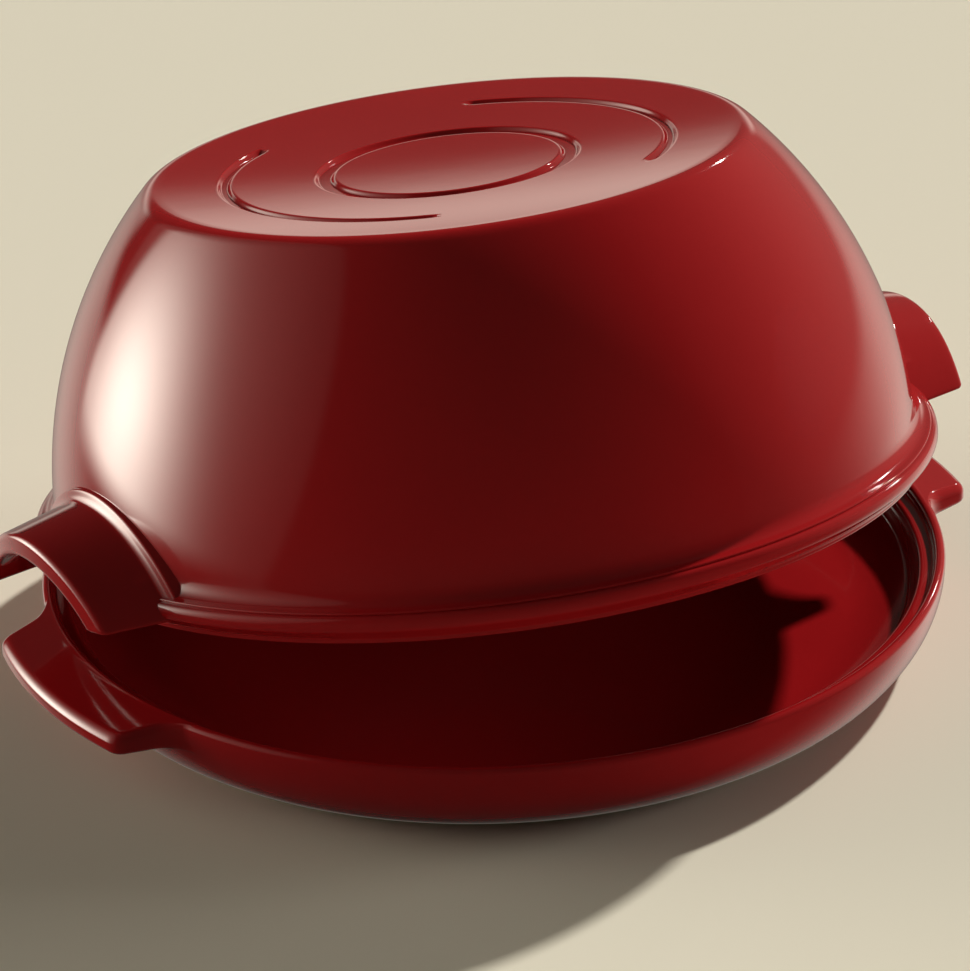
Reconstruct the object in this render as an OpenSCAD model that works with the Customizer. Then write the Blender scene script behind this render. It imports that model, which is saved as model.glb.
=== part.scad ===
/* [Base tray] */
// Outer diameter of the tray's rim
rim_d = 295; // [270:1:330]
// Height of the top of the rim above the foot's plane
base_h = 27.8; // [25:0.1:34]
// Thickness of the rim's upright lip
lip_t = 3.7; // [3:0.1:5]
// How far the ledge inside the rim lies below the top of the rim
seat_drop = 3.8; // [3.2:0.1:5]
// Width of the ledge, inward from the lip
seat_w = 5; // [4:0.1:8]
// Diameter of the foot on which the tray stands
foot_d = 262; // [220:1:268]
// Width of the unglazed foot ring
foot_w = 12; // [6:1:20]
// Depth of the hollow inside the foot ring
foot_recess = 1.5; // [0.5:0.1:3]
// Height of the tray's floor above the foot's plane
floor_z = 9; // [7:0.5:11]
// Radius of the cove between the floor and the wall
cove_r = 40; // [30:1:44]

/* [Base handles] */
// How far each tab stands out beyond the rim
tab_reach = 17; // [15:0.5:26]
// Width of a tab at its outer edge
tab_tip_w = 82; // [60:1:100]
// Width of a tab where it meets the rim
tab_root_w = 92; // [76:1:120]
// Thickness of a tab
tab_t = 6.8; // [5:0.1:9]
// How far the tab's top slopes down from the rim to its outer edge
tab_drop = 3; // [0:0.1:5]
// Length of the rounding at a tab's outer corners
tab_corner = 6; // [2:0.5:7]
// Length of the hollow curve between a tab and the rim
tab_flare = 8; // [2:0.5:8]

/* [Lid] */
// Height of the lid from its lower edge to its top
lid_h = 114.4; // [90:0.2:140]
// How far the bead's outermost line lies inside the tray's rim
bead_in = 0.1; // [-2:0.1:1.5]
// Height of the bead above the lid's lower edge
bead_h = 10.4; // [10:0.1:14]
// Gap between the closed lid's lower edge and the ledge
seat_gap = 0.3; // [0.1:0.05:0.5]
// Gap between the lid's sloping shoulder and the lip that carries it
lip_gap = 0.3; // [0.1:0.05:0.5]
// Slope of the shoulder, in degrees
shoulder_a = 40; // [30:1:45]
// How far the lower edge lies inside the lip
edge_play = 1.5; // [1:0.1:3]
// Thickness of the lid's wall
lid_wall = 8; // [6:0.5:10]
// Thickness of the lid's top
lid_top_t = 9; // [7:0.5:12]
// How far the wall lies inside the bead's outermost line
bead_out = 7; // [5:0.5:9]
// Radius of the wall's upright curve
wall_r = 151.5; // [145:0.5:200]
// Length of the rounding at the edge of the top
top_edge_r = 4; // [3:0.5:8]
// How far the middle of the top is dished
top_dish = 3.6; // [0:0.1:5]

/* [Lid handles] */
// How far each handle stands out beyond the bead
lug_out = 17.6; // [12:0.1:26]
// Radius of the arched strap at its outer edge
lug_r = 47.5; // [40:0.5:56]
// Height of the arch's crown above the lid's lower edge, at its outer edge
lug_top = 27.9; // [26:0.1:34]
// Angle at which the strap falls outward
lug_fall = 9.8; // [4:0.2:14]
// Thickness of the strap
lug_t = 7; // [5:0.5:9]
// Gap between a strap's feet and the rim under them, with the lid closed
lug_gap = 0.5; // [0.3:0.1:2]
// How far the collar at the wall rises above the strap
collar_h = 3.3; // [1:0.1:5]
// How far the collar stands out from the wall
collar_w = 3; // [2:0.1:5]

/* [Rings on the top] */
// Middle radius of the broken outer ring
outer_ring_r = 71.7; // [60:0.1:78]
// Width of the outer ring's groove
outer_ring_w = 4.6; // [2:0.1:7]
// Middle radius of the whole inner ring
inner_ring_r = 39.5; // [28:0.1:50]
// Width of the inner ring's groove
inner_ring_w = 6.6; // [2:0.1:9]
// Depth of both grooves
ring_depth = 1.4; // [0.6:0.1:2.5]
// Angle at which the outer ring's left arc starts
left_arc_from = 118; // [95:1:140]
// Angle over which the left arc runs
left_arc_sweep = 120.5; // [60:0.5:160]
// Angle at which the outer ring's right arc starts
right_arc_from = -56.5; // [-80:0.5:-40]
// Angle over which the right arc runs
right_arc_sweep = 112; // [60:0.5:150]

/* [Pose] */
// Angle to which the lid is tipped back, as the model stands
tilt = 9.6; // [0:0.1:50]

/* [Hidden] */
$fn = 96;
glaze = [0.55, 0.07, 0.09];

rim_r = rim_d / 2;
lip_r = lip_t / 2;
lip_in_r = rim_r - lip_t;
// The lid tips about the middle of the lip's rounded top, at the back
hinge_y = rim_r - lip_r;
hinge_z = base_h - lip_r;
seat_z = base_h - seat_drop;
seat_in_r = lip_in_r - seat_w;
foot_r = foot_d / 2;
// Angle that the cove turns through, and how far it ends inside the ledge and above it the step begins
cove_end = 28;
cove_run = 5;
step_h = 6;
// Rounding of the ledge's inner edge
seat_round = 2;

tab_r = rim_r + tab_reach;
tab_root_in = rim_r - 5;

// The closed lid stands this high, and its measures below start from its lower edge
lid_z = seat_z + seat_gap;
bead_r = rim_r - bead_in;
edge_r = lip_in_r - edge_play;
edge_round = 1.2;
lip_c = [hinge_y, hinge_z - lid_z];
// The shoulder is tangent to a circle round the lip, so it clears the lip at every angle of the lid
shoulder_p = on_circle(lip_c, lip_r + lip_gap, 90 + shoulder_a);
bead_under_r = bead_r - 1;
wall_foot_r = bead_r - bead_out;
wall_foot_z = 8;
wall_c = [wall_foot_r - wall_r, wall_foot_z];
flare_h = 6;
// The wall's last part before the rounded edge, and where the flat top begins
top_a = asin((lid_h - top_edge_r * 0.65 - wall_c.y) / wall_r);
top_start = on_circle(wall_c, wall_r, top_a);
flat_r = top_start.x - top_edge_r * 1.3;
lug_foot = base_h + lug_gap - lid_z;
lug_reach = bead_r + lug_out;
lug_axis_z = lug_top - lug_r;
// Radius of the strap where it leaves the wall
lug_root_r = lug_r + (lug_reach - wall_foot_r) * tan(lug_fall);

function on_circle(c, r, a) = c + r * [cos(a), sin(a)];
function arc(c, r, a0, a1, n) = [for (i = [0:n]) on_circle(c, r, a0 + (a1 - a0) * i / n)];
function bend(p, q, s, n) =
    [for (i = [0:n]) let (u = i / n) (1 - u) * (1 - u) * p + 2 * u * (1 - u) * q + u * u * s];
function mirrored(ps) = [for (i = [len(ps) - 1:-1:0]) [ps[i].x, -ps[i].y]];
function shoulder_z(r) = shoulder_p.y + (r - shoulder_p.x) * tan(shoulder_a);
function degrees_along(length, r) = length / r * 180 / PI;
function top_z(r) = lid_h - top_dish * (1 - pow(min(r, flat_r) / flat_r, 2));

// Tray: outer wall from the foot to the rim, closed across the top
module base_outside() {
    side_r = (pow(rim_r - foot_r, 2) + hinge_z * hinge_z) / (2 * (rim_r - foot_r));
    side_a = asin(hinge_z / side_r);
    polygon(concat(
        [[0, foot_recess], [foot_r - foot_w - foot_recess, foot_recess], [foot_r - foot_w, 0]],
        arc([rim_r - side_r, hinge_z], side_r, -side_a, 0, 10),
        arc([hinge_y, hinge_z], lip_r, 0, 90, 6),
        [[0, base_h]]));
}

// Floor, cove, step, ledge and the inner half of the lip
module base_inside() {
    cove_c = [seat_in_r - cove_run - cove_r * sin(cove_end), floor_z + cove_r];
    cove_p = on_circle(cove_c, cove_r, 270 + cove_end);
    step_p = [seat_in_r - 1, seat_z - step_h / 2];
    edge = [seat_in_r, seat_z];
    polygon(concat(
        [[0, floor_z]],
        arc(cove_c, cove_r, 270, 270 + cove_end, 8),
        bend(cove_p, [step_p.x - 0.4, cove_p.y + (step_p.x - 0.4 - cove_p.x) * tan(cove_end)], step_p, 4),
        bend([seat_in_r - 0.5, seat_z - seat_round], edge, edge + [seat_round, 0], 4),
        [[lip_in_r - 0.8, seat_z], [lip_in_r, seat_z + 0.8]],
        arc([hinge_y, hinge_z], lip_r, 180, 90, 6),
        [[hinge_y, base_h + 1], [0, base_h + 1]]));
}

// Plan of a tab: hollow curves where it leaves the rim, then rounded outer corners
module tab_outline() {
    tip_a = asin(tab_tip_w / 2 / tab_r);
    root_a = asin(tab_root_w / 2 / rim_r);
    tip = on_circle([0, 0], tab_r, tip_a);
    root = on_circle([0, 0], rim_r, root_a);
    along = (tip - root) / norm(tip - root);
    flare_from = on_circle([0, 0], rim_r, root_a + degrees_along(tab_flare, rim_r));
    corner_a = tip_a - degrees_along(tab_corner, tab_r);
    half = concat(
        bend(flare_from, root, root + tab_flare * along, 5),
        bend(tip - tab_corner * along, tip, on_circle([0, 0], tab_r, corner_a), 5),
        arc([0, 0], tab_r, corner_a - 2, 2, 8));
    polygon(concat(half, [[tab_r, 0]], mirrored(half)));
}

// Section of a tab, from inside the wall to its rounded outer edge
module tab_section() {
    nose = tab_t / 2;
    top = base_h - tab_drop;
    polygon(concat(
        [[tab_root_in, top - tab_t], [tab_root_in, seat_z - 2], [hinge_y, seat_z], [hinge_y, base_h]],
        bend([tab_r - nose, top + tab_drop * nose / tab_reach], [tab_r, top], [tab_r, top - nose], 5),
        bend([tab_r, top - nose - 0.1], [tab_r, top - tab_t], [tab_r - nose, top - tab_t], 5)));
}

module tab() {
    intersection() {
        rotate_extrude() tab_section();
        linear_extrude(base_h + 1) tab_outline();
    }
}

module base() {
    color(glaze) difference() {
        union() {
            rotate_extrude() base_outside();
            for (side = [0, 180]) rotate([0, 0, side]) tab();
        }
        rotate_extrude() base_inside();
    }
}

// Lid: lower edge, shoulder over the lip, bead, flare, wall and dished top
module lid_outside() {
    flare_a = asin((bead_h + flare_h - wall_c.y) / wall_r);
    flare_top = on_circle(wall_c, wall_r, flare_a);
    under = [bead_under_r, shoulder_z(bead_under_r)];
    polygon(concat(
        [[0, 0]],
        bend([edge_r - edge_round, 0], [edge_r, 0], [edge_r, edge_round], 3),
        [[edge_r, shoulder_z(edge_r)]],
        bend(under, [bead_r, under.y + 0.6], [bead_r, under.y + 2.4], 4),
        bend([bead_r - 0.05, bead_h - 2.6], [bead_r - 0.4, bead_h - 0.9], [bead_r - 1.9, bead_h - 0.3], 4),
        [[bead_r - 1.8, bead_h + 0.3]],
        bend([bead_r - 2.3, bead_h + 0.6], [wall_foot_r + 0.4, bead_h + 1], flare_top, 5),
        arc(wall_c, wall_r, flare_a + 2, top_a - 1, 14),
        bend(top_start, [top_start.x - top_edge_r * 0.55, lid_h], [flat_r, lid_h], 5),
        [for (i = [5:-1:0]) [flat_r * i / 6, top_z(flat_r * i / 6)]]));
}

// Hollow of the lid: wall, rounded ceiling edge and flat ceiling
module lid_inside() {
    in_r = wall_r - lid_wall;
    ceiling = lid_h - top_dish - lid_top_t;
    end_a = asin((ceiling - 12 - wall_c.y) / in_r);
    end_p = on_circle(wall_c, in_r, end_a);
    foot_p = on_circle(wall_c, in_r, 0);
    polygon(concat(
        [[0, -1], [foot_p.x + 1, -1], [foot_p.x + 1, 0]],
        arc(wall_c, in_r, -2, end_a - 1, 14),
        bend(end_p, [end_p.x - 7, ceiling], [end_p.x - 18, ceiling], 5),
        [[0, ceiling]]));
}

// Keeps what is outside the lid's axis on one side and above the strap's feet
module above_foot(reach) {
    intersection() {
        children();
        translate([0, -lug_reach, lug_foot]) cube([reach, 2 * lug_reach, lid_h]);
    }
}

// A cone round the handle's level axis, of the given radius at the handle's outer edge
module lug_cone(r_out) {
    start = wall_foot_r - 2 * lid_wall;
    grown = (lug_reach + 1 - start) * tan(lug_fall);
    translate([start, 0, lug_axis_z]) rotate([0, 90, 0])
        cylinder(h = lug_reach + 1 - start, r1 = r_out + grown, r2 = r_out);
}

module strap() {
    above_foot(lug_reach + 1) intersection() {
        difference() {
            lug_cone(lug_r);
            translate([-0.01, 0, 0]) lug_cone(lug_r - lug_t);
        }
        cylinder(h = lid_h, r = lug_reach);
    }
}

// The raised collar follows the wall, a little way out from it
module collar() {
    above_foot(lug_reach) intersection() {
        rotate_extrude() polygon(concat(
            [[wall_foot_r - lid_wall / 2, 0]],
            arc(wall_c, wall_r + collar_w, 0, 24, 12),
            [[wall_foot_r - lid_wall / 2, wall_c.y + wall_r * sin(24)]]));
        translate([wall_foot_r - 4 * lid_wall, 0, lug_axis_z]) rotate([0, 90, 0]) difference() {
            cylinder(h = lug_reach, r = lug_root_r + collar_h);
            translate([0, 0, -1]) cylinder(h = lug_reach + 2, r = lug_root_r - lug_t);
        }
    }
}

module ring(r, w, from, sweep) {
    z = top_z(r);
    rotate([0, 0, from]) rotate_extrude(angle = sweep) translate([r, z]) polygon([
        [-w / 2, 3], [-w / 2, -0.2], [-w / 4, -ring_depth],
        [w / 4, -ring_depth], [w / 2, -0.2], [w / 2, 3]]);
}

module closed_lid() {
    difference() {
        union() {
            rotate_extrude() lid_outside();
            for (side = [0, 180]) rotate([0, 0, side]) {
                strap();
                collar();
            }
        }
        rotate_extrude() lid_inside();
        ring(inner_ring_r, inner_ring_w, 0, 360);
        ring(outer_ring_r, outer_ring_w, left_arc_from, left_arc_sweep);
        ring(outer_ring_r, outer_ring_w, right_arc_from, right_arc_sweep);
    }
}

module lid() {
    color(glaze) translate([0, hinge_y, hinge_z]) rotate([-tilt, 0, 0])
        translate([0, -hinge_y, lid_z - hinge_z]) closed_lid();
}

base();
lid();
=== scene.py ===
import math
import bpy
import bmesh
from mathutils import Matrix, Vector


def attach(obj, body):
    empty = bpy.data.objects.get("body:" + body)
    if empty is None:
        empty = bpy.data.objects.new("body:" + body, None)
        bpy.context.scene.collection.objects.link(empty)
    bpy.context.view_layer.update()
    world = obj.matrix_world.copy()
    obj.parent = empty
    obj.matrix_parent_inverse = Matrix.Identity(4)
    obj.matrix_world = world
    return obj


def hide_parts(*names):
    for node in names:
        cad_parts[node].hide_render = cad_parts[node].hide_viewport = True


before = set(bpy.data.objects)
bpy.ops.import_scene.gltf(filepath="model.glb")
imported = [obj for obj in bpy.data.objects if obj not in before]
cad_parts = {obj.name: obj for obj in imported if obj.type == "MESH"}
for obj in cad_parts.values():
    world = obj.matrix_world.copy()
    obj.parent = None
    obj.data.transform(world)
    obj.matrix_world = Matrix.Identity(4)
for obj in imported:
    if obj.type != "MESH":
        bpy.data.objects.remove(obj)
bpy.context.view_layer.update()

mm = 0.001
# what the tray and the lid share, in mm and degrees: the lip on which the lid tips, the level of
# the closed lid, its tilt, the least space between points, and the angle of a sharp edge
shared = {
    "rimRadius": 147.45, "rimTop": 27.75, "lipRadius": 1.8, "lidRest": 24.3, "tilt": 9.6,
    "sharpAngle": 40, "leastStep": 0.04, "weld": 0.01,
}
# the middle of the lip's round, about which the lid tips
hingeY = shared["rimRadius"] - shared["lipRadius"]
hingeZ = shared["rimTop"] - shared["lipRadius"]


def pointAt(centre, radius, angle):
    angle = math.radians(angle)
    return (centre[0] + radius * math.cos(angle), centre[1] + radius * math.sin(angle))


def arcPoints(centre, radius, start, end, steps):
    return [pointAt(centre, radius, start + (end - start) * i / steps) for i in range(steps + 1)]


def bendPoints(first, pull, last, steps):
    points = []
    for i in range(steps + 1):
        u = i / steps
        points.append(tuple((1 - u) ** 2 * a + 2 * u * (1 - u) * b + u * u * c
                            for a, b, c in zip(first, pull, last)))
    return points


def linePoints(first, last, steps):
    return [tuple(a + (b - a) * i / steps for a, b in zip(first, last)) for i in range(steps + 1)]


def between(low, value, high):
    return min(high, max(low, value))


def ease(share):
    share = between(0, share, 1)
    return share * share * (3 - 2 * share)


def spinProfile(points, steps):
    # a profile of (radius, height) points turned round the upright axis
    bm = bmesh.new()
    kept = [p for i, p in enumerate(points)
            if i == 0 or math.dist(p, points[i - 1]) > shared["leastStep"]]
    verts = [bm.verts.new((r * mm, 0, z * mm)) for r, z in kept]
    edges = [bm.edges.new(pair) for pair in zip(verts, verts[1:])]
    bmesh.ops.spin(bm, geom=verts + edges, cent=(0, 0, 0), axis=(0, 0, 1), angle=math.tau,
                   steps=steps, use_merge=True, use_duplicate=False)
    bmesh.ops.remove_doubles(bm, verts=bm.verts, dist=shared["weld"] * mm)
    bmesh.ops.recalc_face_normals(bm, faces=bm.faces)
    return bm


def sweepSection(section, axis, steps, place):
    # turns a closed section through one radian, closes its ends, then fits every point of it
    # with place(first, second, share): the two measures in the section, and the share of the sweep
    sweepRadius = 100  # far enough out for every section, and taken off again
    along, across = (0, 2) if axis == "X" else (2, 0)
    bm = bmesh.new()
    verts = []
    for first, second in section:
        spot = [0, 0, 0]
        spot[along], spot[across] = first, sweepRadius + second
        verts.append(bm.verts.new(spot))
    edges = [bm.edges.new(pair) for pair in zip(verts, verts[1:] + verts[:1])]
    bmesh.ops.spin(bm, geom=verts + edges, cent=(0, 0, 0), axis=(axis == "X", 0, axis == "Z"),
                   angle=1, steps=steps, use_merge=False, use_duplicate=False)
    bmesh.ops.holes_fill(bm, edges=bm.edges, sides=0)
    for v in bm.verts:
        turned = abs(math.atan2(v.co.y, v.co[across]))
        share = round(turned * steps) / steps
        second = math.hypot(v.co.y, v.co[across]) - sweepRadius
        v.co = Vector(place(v.co[along], second, share)) * mm
    bmesh.ops.recalc_face_normals(bm, faces=bm.faces)
    return bm


def objectFrom(bm, name):
    mesh = bpy.data.meshes.new(name)
    bm.to_mesh(mesh)
    bm.free()
    piece = bpy.data.objects.new(name, mesh)
    bpy.context.scene.collection.objects.link(piece)
    return piece


def joinSolids(body, extras):
    # unites the handles with the body they were cast with, then shades the whole smooth
    for extra in extras:
        union = body.modifiers.new("unite", "BOOLEAN")
        union.operation = "UNION"
        union.solver = "EXACT"
        union.object = extra
    bpy.context.view_layer.update()
    depsgraph = bpy.context.evaluated_depsgraph_get()
    mesh = bpy.data.meshes.new_from_object(body.evaluated_get(depsgraph))
    body.modifiers.clear()
    body.data = mesh
    for extra in extras:
        bpy.data.objects.remove(extra)
    for polygon in mesh.polygons:
        polygon.use_smooth = True
    mesh.set_sharp_from_angle(angle=math.radians(shared["sharpAngle"]))
    return body


# tray, in mm, with sideStart, sideEnd and coveEnd in degrees
tray = {
    "footRadius": 131, "footWidth": 12, "footRecess": 1.5, "sideStart": 4, "sideEnd": -1.5,
    "floor": 9, "seatDrop": 3.75, "seatWidth": 5, "seatRound": 2, "stepHeight": 6,
    "coveRadius": 40, "coveEnd": 28, "coveRun": 5, "steps": 320,
    "tabReach": 17, "tabTipWidth": 82, "tabRootWidth": 92, "tabBottom": 18, "tabDrop": 2.93,
    "tabCorner": 3.5, "tabFlare": 8, "tabSink": 1.3, "tabRound": 3, "tabRoundHeight": 4.2,
    "tabFillet": 4.5, "tabLeastRound": 0.1, "tabStations": 110,
    # a tab's root: how far out from the middle of the lip, how deep in the wall below it, and
    # how far out and by how much its top keeps under the lip
    "rootOut": 0.29, "rootDeep": 0.4, "lipCover": 0.45, "lipClear": 0.03,
}
lipInside = shared["rimRadius"] - 2 * shared["lipRadius"]
traySide = ((shared["rimRadius"] - tray["footRadius"]) ** 2 + hingeZ ** 2) \
    / (2 * (shared["rimRadius"] - tray["footRadius"]))


def trayProfile():
    rim, foot = shared["rimRadius"], tray["footRadius"]
    sideAngle = math.degrees(math.asin(hingeZ / traySide))
    side = arcPoints((rim - traySide, hingeZ), traySide, tray["sideStart"] - sideAngle,
                     tray["sideEnd"], 30)
    footInside, recess = foot - tray["footWidth"], tray["footRecess"]
    seat, seatInside = shared["rimTop"] - tray["seatDrop"], lipInside - tray["seatWidth"]
    seatRound, cove, end = tray["seatRound"], tray["coveRadius"], math.radians(tray["coveEnd"])
    coveCentre = (seatInside - tray["coveRun"] - cove * math.sin(end), tray["floor"] + cove)
    coveTop = pointAt(coveCentre, cove, 270 + tray["coveEnd"])
    step = (seatInside - 1, seat - tray["stepHeight"] / 2)
    pull = (step[0] - 0.4, coveTop[1] + (step[0] - 0.4 - coveTop[0]) * math.tan(end))
    points = linePoints((0, recess), (footInside - 4, recess), 12)  # the recess under the tray
    points += bendPoints((footInside - 2.2, recess), (footInside - 0.9, recess),
                         (footInside - 0.3, 0.6), 5)
    points += bendPoints((footInside - 0.2, 0.5), (footInside + 0.2, 0), (footInside + 1, 0), 4)
    points += linePoints((footInside + 1.6, 0), (foot - 1.6, 0), 3)  # the foot ring
    points += bendPoints((foot - 1.2, 0), (foot + 0.3, 0), side[0], 5)
    points += side
    points += arcPoints((hingeY, hingeZ), shared["lipRadius"], 0, 180, 22)  # the lip
    points += bendPoints((lipInside, seat + 1.3), (lipInside, seat), (lipInside - 1.2, seat), 6)
    # the ledge that carries the lid, and its rounded edge
    points += linePoints((lipInside - 1.6, seat), (seatInside + seatRound + 0.2, seat), 2)
    points += bendPoints((seatInside + seatRound, seat), (seatInside, seat),
                         (seatInside - 0.5, seat - seatRound), 9)
    points += bendPoints(step, pull, coveTop, 12)  # down into the hollow
    points += arcPoints(coveCentre, cove, 270 + tray["coveEnd"] - 1.5, 270, 20)
    points += linePoints((coveCentre[0] - 4, tray["floor"]), (0, tray["floor"]), 14)
    return points


def trayWallAt(height):
    return shared["rimRadius"] - traySide + math.sqrt(traySide ** 2 - (hingeZ - height) ** 2)


def tabPlan():
    # the edge of a tab in plan, from one hollow curve round both corners to the other
    rim, tip = shared["rimRadius"], shared["rimRadius"] + tray["tabReach"]
    corner, flare = tray["tabCorner"], tray["tabFlare"]
    rootAngle = math.degrees(math.asin(tray["tabRootWidth"] / 2 / rim))
    tipAngle = math.degrees(math.asin(tray["tabTipWidth"] / 2 / tip))
    start = pointAt((0, 0), rim - tray["tabSink"], rootAngle + math.degrees((flare + 1) / rim))
    root, point = Vector(pointAt((0, 0), rim, rootAngle)), Vector(pointAt((0, 0), tip, tipAngle))
    side = (point - root).normalized()
    cornerAngle = tipAngle - math.degrees(corner / tip)
    half = bendPoints(start, root, root + flare * side, 16)
    half += bendPoints(point - corner * side, point, pointAt((0, 0), tip, cornerAngle), 16)
    half += arcPoints((0, 0), tip, cornerAngle - 1, 0, 24)
    return [Vector(p) for p in half] + [Vector((x, -y)) for x, y in reversed(half[:-1])]


def evenly(points, count):
    # the same line with its points at even spaces
    lengths = [0]
    for a, b in zip(points, points[1:]):
        lengths.append(lengths[-1] + (b - a).length)
    spaced, k = [], 0
    for i in range(count):
        wanted = lengths[-1] * i / (count - 1)
        while k < len(points) - 2 and lengths[k + 1] < wanted:
            k += 1
        share = (wanted - lengths[k]) / (lengths[k + 1] - lengths[k])
        spaced.append(points[k].lerp(points[k + 1], between(0, share, 1)))
    return spaced


def tabSection():
    # (height, share of the way from the lip to the edge), and past 1 the rounded edge in mm
    top, low = shared["rimTop"], tray["tabBottom"]
    deep, wide = tray["tabRoundHeight"], tray["tabRound"]
    section = [(top - 0.9, -0.8)] + linePoints((top, 0), (top, 0.94), 9)
    for i in range(11):
        angle = math.radians(90 - 9 * i)
        section.append((top - deep * (1 - math.sin(angle)), 1 + wide * math.cos(angle)))
    for i in range(11):
        angle = math.radians(-9 * i)
        section.append((low + wide * (1 + math.sin(angle)), 1 + wide * math.cos(angle)))
    section += linePoints((low, 0.9), (low, 0.4), 5)
    section += bendPoints((low, 0.34), (low, 0.03), (low - tray["tabFillet"], 0), 8)
    section.append((low - tray["tabFillet"] - 0.8, -1.2))
    return section


def tabSolid(side):
    plan = evenly(tabPlan(), tray["tabStations"])
    last = len(plan) - 1
    spread = math.degrees(math.atan2(plan[0].y, plan[0].x))
    top, low, wide = shared["rimTop"], tray["tabBottom"], tray["tabRound"]
    lip, run = shared["lipRadius"], shared["rimRadius"] + tray["tabReach"] - hingeY
    rootOut = tray["rootOut"]

    def place(height, out, share):
        i = round(share * last)
        along = plan[min(last, i + 1)] - plan[max(0, i - 1)]
        outward = Vector((-along.y, along.x)).normalized()
        # the rounding of the edge dies away where the hollow curve runs into the rim
        small = between(tray["tabLeastRound"], 0.5 * (plan[i].length - hingeY - rootOut), wide)
        inner = hingeY + rootOut if height > hingeZ else trayWallAt(height) - tray["rootDeep"]
        root = Vector(pointAt((0, 0), inner + min(0, out), spread * (1 - 2 * share)))
        if out <= 1:
            spot = root.lerp(plan[i] - small * outward, max(0, out))
        else:
            spot = plan[i] - small * (1 - (out - 1) / wide) * outward
        fall = tray["tabDrop"] / run * max(0, spot.length - hingeY)
        z = height - fall * between(0, (height - low) / (top - low), 1)
        if height > hingeZ and spot.length < hingeY + tray["lipCover"]:
            onLip = math.sqrt(max(0, lip ** 2 - (spot.length - hingeY) ** 2))
            z = min(z, hingeZ + onLip - tray["lipClear"])
        return (side * spot.x, side * spot.y, z)

    return objectFrom(sweepSection(tabSection(), "Z", last, place), "tab")


def buildTray():
    body = objectFrom(spinProfile(trayProfile(), tray["steps"]), "tray")
    return joinSolids(body, [tabSolid(1), tabSolid(-1)])


# lid, in mm, with shoulderSlope, strapFall, arcs and arcInset in degrees
lid = {
    "height": 114.3, "edgeRadius": 142.3, "edgeRound": 1.2, "shoulderSlope": 40,
    "shoulderPoint": (144.27, 3.3), "wall": 8, "topThick": 9, "steps": 320,
    "beadRadius": 147.25, "beadHeight": 10.4, "beadOut": 6.85, "creaseDrop": 0.25,
    "wallRadius": 151.5, "wallLevel": 8, "flareTop": 16.4, "topEdge": 4, "dish": 3.6,
    "outerRing": 71.7, "outerWidth": 4.6, "innerRing": 39.5, "innerWidth": 6.6,
    "grooveDepth": 1.4, "grooveWall": 1.5,
    "arcs": [(118, 238.5), (-56.5, 55.5)], "arcInset": 1.8, "skin": 3,
    "strapReach": 164.9, "strapRadius": 47.5, "strapAxis": -19.6, "strapFall": 9.8,
    "strapThick": 7, "strapFoot": 4, "footRound": 1.5, "strapSteps": 90, "footSteps": 6,
    "collarRise": 3.6, "collarOut": 2.9, "collarWiden": 1.5, "collarStart": 2, "collarFade": 5,
}
wallCentre = (lid["beadRadius"] - lid["beadOut"] - lid["wallRadius"], lid["wallLevel"])
wallEnd = math.degrees(math.asin((lid["height"] - lid["topEdge"] * 0.65 - wallCentre[1])
                                 / lid["wallRadius"]))
wallTop = pointAt(wallCentre, lid["wallRadius"], wallEnd)
flatRadius = wallTop[0] - lid["topEdge"] * 1.3
crease = lid["beadHeight"] - lid["creaseDrop"]
flareAngle = math.degrees(math.asin((lid["flareTop"] - wallCentre[1]) / lid["wallRadius"]))


def wallAt(height):
    return wallCentre[0] + math.sqrt(lid["wallRadius"] ** 2 - (height - wallCentre[1]) ** 2)


def topAt(radius):
    return lid["height"] - lid["dish"] * (1 - (min(radius, flatRadius) / flatRadius) ** 2)


def grooveDip(distance, width):
    # how deep a groove is at a distance from its middle line: a flat bed with soft walls
    return lid["grooveDepth"] * ease((width / 2 - abs(distance)) / lid["grooveWall"])


def groovePoints(ring, width):
    points = []
    for i in range(-9, 10):
        across = -i / 9 * width / 2
        points.append((ring + across, topAt(ring + across) - grooveDip(across, width)))
    return points


def lidInside():
    inner, ceiling = lid["wallRadius"] - lid["wall"], lid["height"] - lid["dish"] - lid["topThick"]
    endAngle = math.degrees(math.asin((ceiling - 12 - wallCentre[1]) / inner))
    end, foot = pointAt(wallCentre, inner, endAngle), pointAt(wallCentre, inner, -2)
    points = linePoints((0, ceiling), (end[0] - 20, ceiling), 10)
    points += bendPoints((end[0] - 18, ceiling), (end[0] - 7, ceiling), end, 12)
    points += arcPoints(wallCentre, inner, endAngle - 1, -2, 34)
    points += bendPoints((foot[0], foot[1] - 0.5), (foot[0] + 0.1, 0), (foot[0] + 1.8, 0), 6)
    return points


def flarePoints():
    # the wall's foot, where it spreads out to the bead
    start = (lid["beadRadius"] - 2.4, crease + 0.95)
    end = pointAt(wallCentre, lid["wallRadius"], flareAngle)
    return bendPoints(start, (end[0] + 0.28, crease + 1.45), end, 14)


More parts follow.
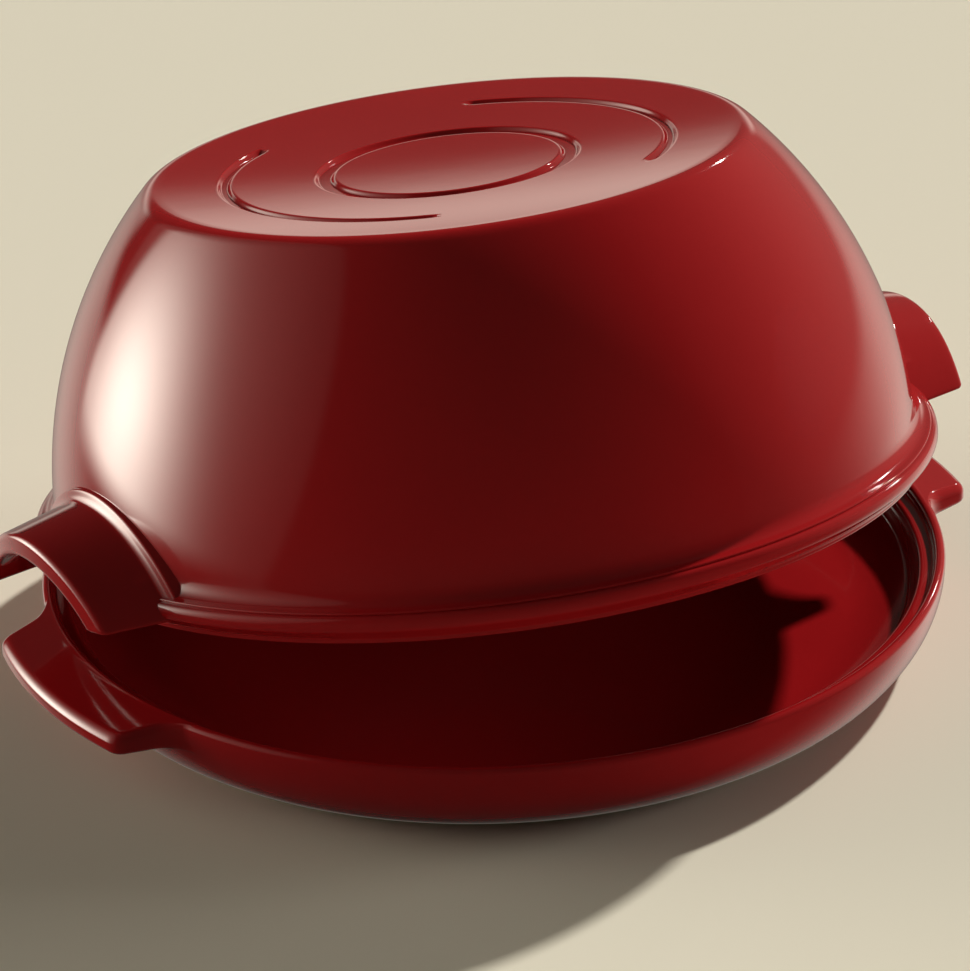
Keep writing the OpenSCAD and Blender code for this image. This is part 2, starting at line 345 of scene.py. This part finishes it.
def lidOutside():
    edge, bead, small = lid["edgeRadius"], lid["beadRadius"], lid["edgeRound"]
    slope, (footX, footZ) = math.tan(math.radians(lid["shoulderSlope"])), lid["shoulderPoint"]
    under = (bead - 1, footZ + (bead - 1 - footX) * slope)
    shoulderLow = footZ + (edge + 0.6 - footX) * slope
    points = linePoints((edge - 6, 0), (edge - small - 0.4, 0), 3)  # the edge inside the lip
    points += bendPoints((edge - small, 0), (edge, 0), (edge, small), 7)
    points += bendPoints((edge, small + 0.1), (edge, shoulderLow - 0.6 * slope),
                         (edge + 0.6, shoulderLow), 4)
    points += linePoints((edge + 1, shoulderLow + 0.4 * slope), under, 4)  # the shoulder
    points += bendPoints(under, (bead, under[1] + slope), (bead, under[1] + 2.2), 7)
    # the bead, and the crease above it
    points += bendPoints((bead, under[1] + 2.5), (bead, crease - 0.2), (bead - 1.9, crease), 10)
    points += bendPoints((bead - 2.05, crease + 0.1), (bead - 1.6, crease + 0.65),
                         (bead - 2.2, crease + 0.9), 6)
    points += flarePoints()
    points += arcPoints(wallCentre, lid["wallRadius"], flareAngle + 0.8, wallEnd - 0.8, 48)
    pull = (wallTop[0] - 2.55, lid["height"] + 0.12)
    points += bendPoints(wallTop, pull, (flatRadius, lid["height"]), 12)
    return points


def lidTop():
    outer = lid["outerRing"] + lid["outerWidth"] / 2
    inner = lid["innerRing"] + lid["innerWidth"] / 2
    points = [(r, topAt(r)) for r, _ in linePoints((flatRadius - 2.5, 0), (outer + 0.6, 0), 7)]
    points += groovePoints(lid["outerRing"], lid["outerWidth"])
    nextRun = linePoints((outer - lid["outerWidth"] - 0.6, 0), (inner + 0.6, 0), 9)
    points += [(r, topAt(r)) for r, _ in nextRun]
    points += groovePoints(lid["innerRing"], lid["innerWidth"])
    middle = linePoints((inner - lid["innerWidth"] - 0.6, 0), (0, 0), 12)
    return points + [(r, topAt(r)) for r, _ in middle]


def breakOuterRing(bm):
    # the outer groove is kept only along its two arcs, which end in half circles
    ring, width = lid["outerRing"], lid["outerWidth"]
    for v in bm.verts:
        radius = math.hypot(v.co.x, v.co.y) / mm
        # points near the outside only, so the ceiling under the top stays as it is
        if abs(radius - ring) < width / 2 and v.co.z > (topAt(radius) - lid["skin"]) * mm:
            angle = math.degrees(math.atan2(v.co.y, v.co.x))
            beyond = math.inf
            for start, end in lid["arcs"]:
                away = abs((angle - (start + end) / 2 + 180) % 360 - 180) - (end - start) / 2
                beyond = min(beyond, math.radians(max(0, away + lid["arcInset"])) * ring)
            v.co.z = (topAt(radius) - grooveDip(math.hypot(radius - ring, beyond), width)) * mm


# along a strap, a run of up to wallRun is in mm from the wall, one of tipRun or more is in mm up to
# tipEnd at the tip, and the part between them stretches to fit
wallRun, tipRun, tipEnd = 10, 30, 40


def strapSection():
    # (run along the strap, height over its face): the collar on the wall, the strap and its tip
    thick, rise, out, tip = lid["strapThick"], lid["collarRise"], lid["collarOut"], tipEnd
    section = [(-2.5, rise + 0.1), (-1.2, rise + 0.05)]
    section += linePoints((-0.3, rise), (out * 0.7, rise), 5)
    section += bendPoints((out - 0.65, rise), (out, rise), (out + 0.05, rise - 0.7), 8)
    section += bendPoints((out + 0.1, rise - 1.1), (out + 0.25, 0.05), (out + 1.3, 0), 9)
    section += linePoints((wallRun, 0), (tipRun, 0), 6)
    section += linePoints((tipRun + 3, 0), (tipRun + 6, 0), 2)
    section += bendPoints((tip - 1.7, 0), (tip - 0.05, -0.05), (tip, -1.8), 9)
    section += linePoints((tip, -2.4), (tip, -thick + 2.4), 2)
    section += bendPoints((tip, -thick + 1.8), (tip - 0.05, -thick + 0.05), (tip - 1.7, -thick), 9)
    section += linePoints((tipRun + 6, -thick), (tipRun + 3, -thick), 2)
    section += linePoints((tipRun, -thick), (wallRun, -thick), 6)
    section += linePoints((wallRun - 2, -thick), (wallRun - 4.5, -thick), 2)
    section += bendPoints((4.8, -thick), (0.4, -thick - 0.1), (0, -thick - 4.4), 9)
    section += [(-0.4, -thick - 5), (-2.5, -thick - 6)]
    return section


def strapSolid(side):
    thick, reach, axis = lid["strapThick"], lid["strapReach"], lid["strapAxis"]
    fall, foot, small = math.tan(math.radians(lid["strapFall"])), lid["strapFoot"], lid["footRound"]
    endShare = 2 * lid["footSteps"] / lid["strapSteps"]
    fixedRuns = wallRun + tipEnd - tipRun

    def place(run, lift, share):
        turn = 2 * share - 1
        # the last rows draw in to round the foot, and end level
        close = math.radians(90 * max(0, abs(turn) - 1 + endShare) / endShare)
        inset = small * (1 - math.cos(close))
        level = foot + small * (1 - math.sin(close))
        turn = between(-1, turn / (1 - endShare), 1)
        middle = -thick / 2
        if lift > 0:
            lift -= inset
        elif lift < -thick:
            lift += inset
        else:
            lift = middle + (lift - middle) * (1 - inset / -middle)
        if run > tipRun:
            run -= inset * (run - tipRun) / (tipEnd - tipRun)
        # the strap's height falls towards its tip, so its place settles in a few rounds
        x = reach
        for _ in range(6):
            radius = lid["strapRadius"] + (reach - x) * fall + lift
            angle = turn * math.acos(between(-1, (level - axis) / radius, 1))
            y, z = radius * math.sin(angle), axis + radius * math.cos(angle)
            wall = math.sqrt(max(0, wallAt(z) ** 2 - y * y))
            tip = math.sqrt(reach ** 2 - y * y)
            if run <= wallRun:
                # on the outside, the collar widens from the top of the arch to its feet
                wide = lid["collarWiden"] * (2 * turn * turn - 1) if lift > 0 else 0
                wide *= between(0, run / lid["collarStart"], 1)
                x = wall + run + wide * between(0, (wallRun - run) / lid["collarFade"], 1)
            elif run >= tipRun:
                x = tip - (tipEnd - run)
            else:
                x = wall + wallRun + (tip - wall - fixedRuns) * (run - wallRun) / (tipRun - wallRun)
        return (side * x, side * y, z)

    return objectFrom(sweepSection(strapSection(), "X", lid["strapSteps"], place), "strap")


def tipBack(piece):
    # sets a piece that was made on the closed lid into the place where the lid lies, tipped back
    closed = Matrix.Translation((0, 0, shared["lidRest"] * mm))
    pivot = Matrix.Translation((0, hingeY * mm, hingeZ * mm))
    turn = Matrix.Rotation(math.radians(-shared["tilt"]), 4, "X")
    piece.data.transform(pivot @ turn @ pivot.inverted() @ closed)


def buildLid():
    bm = spinProfile(lidInside() + lidOutside() + lidTop(), lid["steps"])
    breakOuterRing(bm)
    body = objectFrom(bm, "dome")
    joinSolids(body, [strapSolid(1), strapSolid(-1)])
    tipBack(body)
    return body


class Shade:
    # a shader socket that takes part in sums and products
    def __init__(self, tree, socket=None):
        self.tree = tree
        self.socket = socket

    def node(self, kind, settings=None, inputs=None, output=0):
        made = self.tree.nodes.new(kind)
        for name, value in (settings or {}).items():
            setattr(made, name, value)
        for key, value in (inputs or {}).items():
            if isinstance(value, Shade):
                self.tree.links.new(value.socket, made.inputs[key])
            else:
                made.inputs[key].default_value = value
        return Shade(self.tree, made.outputs[output])

    def math(self, operation, a, b):
        return self.node("ShaderNodeMath", {"operation": operation}, {0: a, 1: b})

    def dot(self, vector, towards):
        return self.node("ShaderNodeVectorMath", {"operation": "DOT_PRODUCT"},
                         {0: vector, 1: Vector(towards).normalized()}, "Value")

    def __add__(self, other):
        return self.math("ADD", self, other)

    def __radd__(self, other):
        return self.math("ADD", other, self)

    def __rsub__(self, other):
        return self.math("SUBTRACT", other, self)

    def __mul__(self, other):
        return self.math("MULTIPLY", self, other)

    def __rmul__(self, other):
        return self.math("MULTIPLY", other, self)


# the glaze with its pools, flecks and ripples, and the bare clay of the foot; lengths in metres
glaze = {
    "deep": (0.28, 0.006, 0.008, 1), "bright": (0.37, 0.010, 0.012, 1),
    "poolScale": 11.0, "poolShare": 0.8, "fleckScale": 420.0, "fleckShare": 0.2,
    "rippleScale": 45.0, "bump": 0.05, "bumpDepth": 0.0006, "fleckBump": 0.12,
    "roughness": 0.07, "poolRoughness": 0.05, "ior": 1.52, "coat": 0.35, "coatRoughness": 0.03,
    "clay": (0.50, 0.36, 0.24, 1), "clayRoughness": 0.85,
    "clayLevel": 0.0009, "clayEdge": 0.0003, "clayWaver": 0.0006,
}


def glazeMaterial(name, bareFoot):
    material = bpy.data.materials.new(name)
    material.use_nodes = True
    tree = material.node_tree
    tree.nodes.clear()
    shade = Shade(tree)
    place = shade.node("ShaderNodeTexCoord", output="Object")

    def noise(scale, detail):
        return shade.node("ShaderNodeTexNoise", None,
                          {"Vector": place, "Scale": scale, "Detail": detail})

    def mixColour(share, first, second):
        return shade.node("ShaderNodeMix", {"data_type": "RGBA"},
                          {0: share, 6: first, 7: second}, 2)

    pools, fleck = noise(glaze["poolScale"], 3.0), noise(glaze["fleckScale"], 2.0)
    ripple = noise(glaze["rippleScale"], 1.0)
    colour = mixColour(glaze["poolShare"] * pools + glaze["fleckShare"] * fleck,
                       glaze["deep"], glaze["bright"])
    roughness = glaze["roughness"] + glaze["poolRoughness"] * pools
    if bareFoot:
        height = shade.node("ShaderNodeSeparateXYZ", None, {0: place}, 2)
        bare = shade.node("ShaderNodeMapRange", None,
                          {0: height + glaze["clayWaver"] * ripple,
                           1: glaze["clayLevel"] + glaze["clayEdge"], 2: glaze["clayLevel"]})
        colour = mixColour(bare, colour, glaze["clay"])
        roughness = roughness + (glaze["clayRoughness"] - glaze["roughness"]) * bare
    bump = shade.node("ShaderNodeBump", None,
                      {"Strength": glaze["bump"], "Distance": glaze["bumpDepth"],
                       "Height": ripple + glaze["fleckBump"] * fleck})
    shader = shade.node("ShaderNodeBsdfPrincipled", None,
                        {"Base Color": colour, "Roughness": roughness, "Normal": bump,
                         "IOR": glaze["ior"], "Coat Weight": glaze["coat"],
                         "Coat Roughness": glaze["coatRoughness"]})
    output = tree.nodes.new("ShaderNodeOutputMaterial")
    tree.links.new(shader.socket, output.inputs[0])
    return material


def dress(piece, node, material):
    piece.data.materials.clear()
    piece.data.materials.append(material)
    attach(piece, node)
    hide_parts(node)


print("tray")
dress(buildTray(), "base", glazeMaterial("trayGlaze", True))
print("lid")
dress(buildLid(), "lid", glazeMaterial("lidGlaze", False))

# floor, lights and camera
stageLook = {
    "floor": (0.74, 0.70, 0.585, 1), "floorRoughness": 0.6, "floorSize": 6, "floorLevel": -0.0002,
    "room": (1.0, 0.93, 0.80, 1), "ambient": 0.03,
    # soft lights of the room: where each is, how bright, how narrow, and where it ends
    "window": ((-0.656, 0.755, 0.02), 10.8, 18.0, 0.6),
    "windowEdge": (-0.966, -0.259, 0), "windowEnds": (-0.04, 0.05),
    "glows": [((-0.79, 0.56, 0.26), 0.68, 5.5, 0.70), ((0.98, 0.17, 0.09), 0.18, 4.0, 0.5)],
    "glowEnds": (-0.28, -0.16), "glowSoft": 0.02,
    # light thrown back from below, because the floor itself isn't seen in reflections
    "floorGlows": [((0.85, 0.31, -0.42), 1.0, 12.0, 0.7),
                   ((-0.083, 0.953, -0.292), 0.8, 14.0, 0.8)],
    "floorEnds": (-0.03, -0.12),
    "horizonGlow": 0.8, "horizonHeight": 0.115,
    "horizonFacing": (0.407, 0.914, 0), "horizonEnds": (0.88, 0.94),
    # lamps: where each is, how strong, how wide in degrees, whether it lights, whether it shines
    "lamps": {
        "keyLight": ((0.774, 0.297, 0.559), 4.0, 3.0, True, False),
        "sparkLight": ((0.762, 0.476, 0.438), 0.14, 3.0, False, True),
        "sideLight": ((0.962, -0.258, 0.087), 2.1, 25, True, False),
    },
    "lampColour": (1, 0.97, 0.9),
}


def plainMaterial(name, colour, roughness):
    material = bpy.data.materials.new(name)
    material.use_nodes = True
    shader = material.node_tree.nodes["Principled BSDF"]
    shader.inputs["Base Color"].default_value = colour
    shader.inputs["Roughness"].default_value = roughness
    return material


def buildFloor():
    bm = bmesh.new()
    bmesh.ops.create_grid(bm, x_segments=1, y_segments=1, size=stageLook["floorSize"])
    bmesh.ops.translate(bm, verts=bm.verts, vec=(0, 0, stageLook["floorLevel"]))
    floor = objectFrom(bm, "floor")
    paint = plainMaterial("floorPaint", stageLook["floor"], stageLook["floorRoughness"])
    floor.data.materials.append(paint)
    floor.visible_glossy = False


def addLamp(name, facing, strength, width, lights, shines):
    light = bpy.data.lights.new(name, "SUN")
    light.energy = strength
    light.angle = math.radians(width)
    light.color = stageLook["lampColour"]
    lamp = bpy.data.objects.new(name, light)
    lamp.rotation_euler = Vector(facing).to_track_quat("Z", "Y").to_euler()
    lamp.visible_diffuse, lamp.visible_glossy = lights, shines
    bpy.context.scene.collection.objects.link(lamp)


def buildWorld():
    # a dim room, brighter towards the window, in a few soft patches and along the far horizon
    world = bpy.data.worlds.new("studio")
    world.use_nodes = True
    tree = world.node_tree
    tree.nodes.clear()
    shade = Shade(tree)
    facing = shade.node("ShaderNodeTexCoord", output="Generated")
    rise = shade.node("ShaderNodeSeparateXYZ", None, {0: facing}, 2)

    def step(value, ends):
        return shade.node("ShaderNodeMapRange", {"interpolation_type": "SMOOTHSTEP"},
                          {0: value, 1: ends[0], 2: ends[1]})

    def glow(towards, power, focus, end):
        near, soft = shade.dot(facing, towards), stageLook["glowSoft"]
        peak = shade.math("POWER", shade.math("MAXIMUM", near, 0.0), focus)
        return power * peak * step(near, (end - soft, end + soft))

    windowSide = shade.dot(facing, stageLook["windowEdge"])
    above = glow(*stageLook["window"]) * step(windowSide, stageLook["windowEnds"])
    for settings in stageLook["glows"]:
        above = above + glow(*settings)
    below = glow(*stageLook["floorGlows"][0]) + glow(*stageLook["floorGlows"][1])
    band = 1 - step(shade.math("ABSOLUTE", rise, 0.0), (0.0, stageLook["horizonHeight"]))
    behind = step(shade.dot(facing, stageLook["horizonFacing"]), stageLook["horizonEnds"])
    strength = stageLook["ambient"] + above * step(rise, stageLook["glowEnds"]) \
        + below * step(rise, stageLook["floorEnds"]) + stageLook["horizonGlow"] * (band * behind)
    background = shade.node("ShaderNodeBackground", None, {0: stageLook["room"], 1: strength})
    output = tree.nodes.new("ShaderNodeOutputWorld")
    tree.links.new(background.socket, output.inputs[0])
    bpy.context.scene.world = world


# the camera, in degrees, metres and pixels, with the frame's longer side and the sensor's in mm
view = {
    "azimuth": 29.215, "elevation": 25.972, "roll": 2.177, "distance": 1.7222,
    "target": (-0.00209, 0, 0.05219), "focal": 5300, "frameSide": 971, "sensor": 36,
    "nearest": 0.1, "farthest": 50,
}


def addCamera():
    around, up, roll = (math.radians(view[k]) for k in ("azimuth", "elevation", "roll"))
    forward = Vector((math.sin(around) * math.cos(up), math.cos(around) * math.cos(up),
                      -math.sin(up)))
    right = Vector((math.cos(around), -math.sin(around), 0))
    down = forward.cross(right)
    across = math.cos(roll) * right + math.sin(roll) * down
    drop = -math.sin(roll) * right + math.cos(roll) * down
    turn = Matrix((across, -drop, -forward)).transposed().to_4x4()
    data = bpy.data.cameras.new("camera")
    data.sensor_width = view["sensor"]
    data.lens = view["focal"] * view["sensor"] / view["frameSide"]
    data.clip_start, data.clip_end = view["nearest"], view["farthest"]
    camera = bpy.data.objects.new("camera", data)
    place = Vector(view["target"]) - forward * view["distance"]
    camera.matrix_world = Matrix.Translation(place) @ turn
    bpy.context.scene.collection.objects.link(camera)
    bpy.context.scene.camera = camera


print("stage")
buildFloor()
for name, settings in stageLook["lamps"].items():
    addLamp(name, *settings)
buildWorld()
bpy.context.scene.view_settings.view_transform = "Standard"
addCamera()
